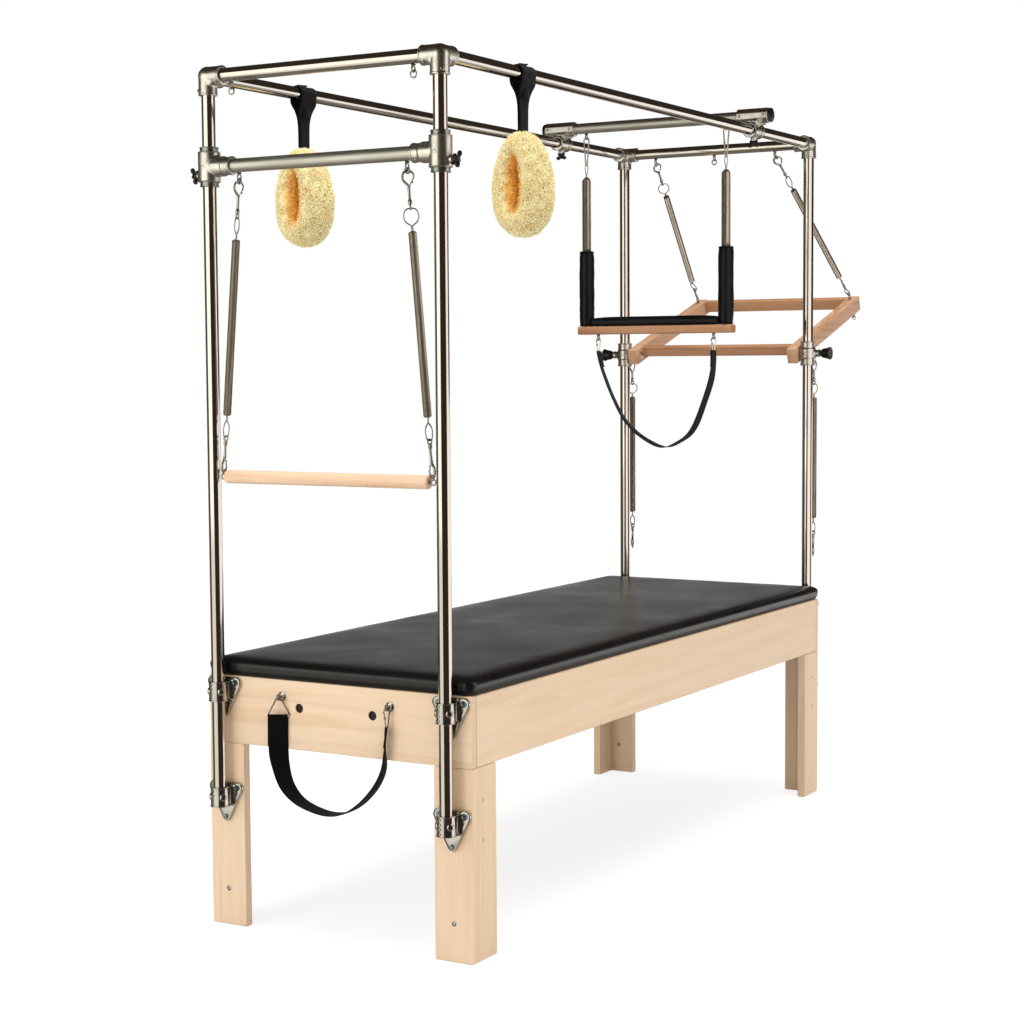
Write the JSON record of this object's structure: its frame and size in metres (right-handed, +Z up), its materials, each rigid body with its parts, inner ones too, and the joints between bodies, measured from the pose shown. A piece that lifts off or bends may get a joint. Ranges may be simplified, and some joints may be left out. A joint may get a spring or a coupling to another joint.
{
  "type": "pilates trapeze table",
  "caption": "Padded maple pilates bed under a steel tube canopy, with roll-down bar, trapeze, push-through bar, springs, foot loops and straps.",
  "frame": {"origin": "centre of the whole part's box, on the floor the legs stand on", "axes": "+X along the bed from the roll-down end to the push-through end, +Y across it, +Z up"},
  "size_m": [2.8779, 0.841, 2.2175],
  "materials": {
    "maple": "clear satin lacquer on pale maple with a faint grain",
    "vinyl": "black leather-grain vinyl with a soft sheen",
    "polished_tube": "polished steel tube",
    "cast_metal": "satin cast and tumbled metal",
    "satin_tube": "satin aluminium tube",
    "black_plastic": "black moulded plastic",
    "spring_steel": "close-wound nickel-plated spring wire",
    "dowel_wood": "satin lacquered round bar",
    "tan_wood": "satin lacquered reddish tan wood",
    "webbing": "black flat woven webbing",
    "fleece": "cream pile fleece with a black web strap"
  },
  "bodies": {
    "frame": {"side_rail_near": "maple", "side_rail_far": "maple", "end_rail_head": "maple", "end_rail_foot": "maple", "leg_head_near": "maple", "leg_head_far": "maple", "leg_foot_near": "maple", "leg_foot_far": "maple", "mat": "vinyl", "post_head_near": "polished_tube", "post_head_far": "polished_tube", "post_foot_near": "polished_tube", "post_foot_far": "polished_tube", "elbow_head_near": "cast_metal", "elbow_head_far": "cast_metal", "elbow_foot_near": "cast_metal", "elbow_foot_far": "cast_metal", "top_tube_near": "polished_tube", "top_tube_far": "polished_tube", "end_tube_head": "polished_tube", "end_tube_foot": "polished_tube", "bracket_upper_head_near": "cast_metal", "bracket_upper_head_far": "cast_metal", "bracket_upper_foot_near": "cast_metal", "bracket_upper_foot_far": "cast_metal", "bracket_lower_head_near": "cast_metal", "bracket_lower_head_far": "cast_metal", "bracket_lower_foot_near": "cast_metal", "bracket_lower_foot_far": "cast_metal", "push_collar_near": "cast_metal", "push_collar_far": "cast_metal", "push_spring_near": "spring_steel", "push_spring_far": "spring_steel"},
    "slide_bar": {"slide_bar_tube": "satin_tube", "slide_tee_near": "cast_metal", "slide_tee_far": "cast_metal"},
    "slide_knob_near": {"slide_knob_near": "black_plastic"},
    "slide_knob_far": {"slide_knob_far": "black_plastic"},
    "roll_down": {"roll_down_spring_near": "spring_steel", "roll_down_spring_far": "spring_steel", "roll_down_bar": "dowel_wood"},
    "carriage": {"trapeze_cross_tube": "satin_tube", "trapeze_saddle_near": "cast_metal", "trapeze_saddle_far": "cast_metal"},
    "carriage_knob_near": {"trapeze_knob_near": "black_plastic"},
    "carriage_knob_far": {"trapeze_knob_far": "black_plastic"},
    "trapeze": {"trapeze_spring_near": "spring_steel", "trapeze_spring_far": "spring_steel", "trapeze_pad": "vinyl", "trapeze_board": "tan_wood"},
    "sling": {"trapeze_strap": "webbing"},
    "push_bar": {"push_bar_frame": "tan_wood", "push_bar_pivot_rail": "tan_wood"},
    "plunger_near": {"push_plunger_near": "black_plastic"},
    "plunger_far": {"push_plunger_far": "black_plastic"},
    "leg_spring_near": {"leg_spring_near": "spring_steel"},
    "leg_spring_far": {"leg_spring_far": "spring_steel"},
    "foot_loop_near": {"foot_loop_near": "fleece"},
    "foot_loop_far": {"foot_loop_far": "fleece"},
    "end_strap": {"end_strap": "webbing"}
  },
  "joints": [
    {"name": "slide_bar_lift", "type": "slide", "parent": "frame", "child": "slide_bar", "axis": [0, 0, 1], "range_m": [-0.4, 0.1]},
    {"name": "slide_knob_near_turn", "type": "hinge", "parent": "slide_bar", "child": "slide_knob_near", "pos_m": [-1.41446, -0.3763, 1.907], "axis": [0, -1, 0], "range_deg": [0, 180]},
    {"name": "slide_knob_far_turn", "type": "hinge", "parent": "slide_bar", "child": "slide_knob_far", "pos_m": [-1.41446, 0.3763, 1.907], "axis": [0, 1, 0], "range_deg": [0, 180]},
    {"name": "roll_down_swing", "type": "hinge", "parent": "slide_bar", "child": "roll_down", "pos_m": [-1.41446, 0, 1.89603], "axis": [0, 1, 0], "range_deg": [-30, 45]},
    {"name": "carriage_travel", "type": "slide", "parent": "frame", "child": "carriage", "axis": [1, 0, 0], "range_m": [-0.91, 0.1]},
    {"name": "carriage_knob_near_turn", "type": "hinge", "parent": "carriage", "child": "carriage_knob_near", "pos_m": [0.40954, -0.34, 2.1167], "axis": [0, 0, -1], "range_deg": [0, 180]},
    {"name": "carriage_knob_far_turn", "type": "hinge", "parent": "carriage", "child": "carriage_knob_far", "pos_m": [0.40954, 0.34, 2.1167], "axis": [0, 0, -1], "range_deg": [0, 180]},
    {"name": "trapeze_swing", "type": "hinge", "parent": "carriage", "child": "trapeze", "pos_m": [0.40954, 0, 2.16303], "axis": [0, 1, 0], "range_deg": [-20, 20]},
    {"name": "sling_swing", "type": "hinge", "parent": "trapeze", "child": "sling", "pos_m": [0.40954, 0, 1.51303], "axis": [0, 1, 0], "range_deg": [-12, 12]},
    {"name": "push_bar_swing", "type": "hinge", "parent": "frame", "child": "push_bar", "pos_m": [0.86554, 0, 1.462], "axis": [0, 1, 0], "range_deg": [-10, 55], "stiffness_Nm_per_rad": 160, "springref_deg": -2.58, "deforming": ["push_spring_near", "push_spring_far"]},
    {"name": "plunger_near_pull", "type": "slide", "parent": "frame", "child": "plunger_near", "axis": [0, -1, 0], "range_m": [0, 0.01], "stiffness_N_per_m": 800, "springref_m": -0.004},
    {"name": "plunger_far_pull", "type": "slide", "parent": "frame", "child": "plunger_far", "axis": [0, 1, 0], "range_m": [0, 0.01], "stiffness_N_per_m": 800, "springref_m": -0.004},
    {"name": "leg_spring_near_swing", "type": "hinge", "parent": "frame", "child": "leg_spring_near", "pos_m": [0.92254, -0.34, 1.44603], "axis": [0, 1, 0], "range_deg": [-40, 2]},
    {"name": "leg_spring_far_swing", "type": "hinge", "parent": "frame", "child": "leg_spring_far", "pos_m": [0.92254, 0.34, 1.44603], "axis": [0, 1, 0], "range_deg": [-40, 2]},
    {"name": "foot_loop_near_swing", "type": "hinge", "parent": "frame", "child": "foot_loop_near", "pos_m": [-1.02946, -0.34, 2.15], "axis": [1, 0, 0], "range_deg": [-30, 30]},
    {"name": "foot_loop_far_swing", "type": "hinge", "parent": "frame", "child": "foot_loop_far", "pos_m": [-1.01446, 0.34, 2.15], "axis": [1, 0, 0], "range_deg": [-30, 30]},
    {"name": "end_strap_swing", "type": "hinge", "parent": "frame", "child": "end_strap", "pos_m": [-1.39946, 0, 0.60403], "axis": [0, 1, 0], "range_deg": [0, 80]}
  ]
}
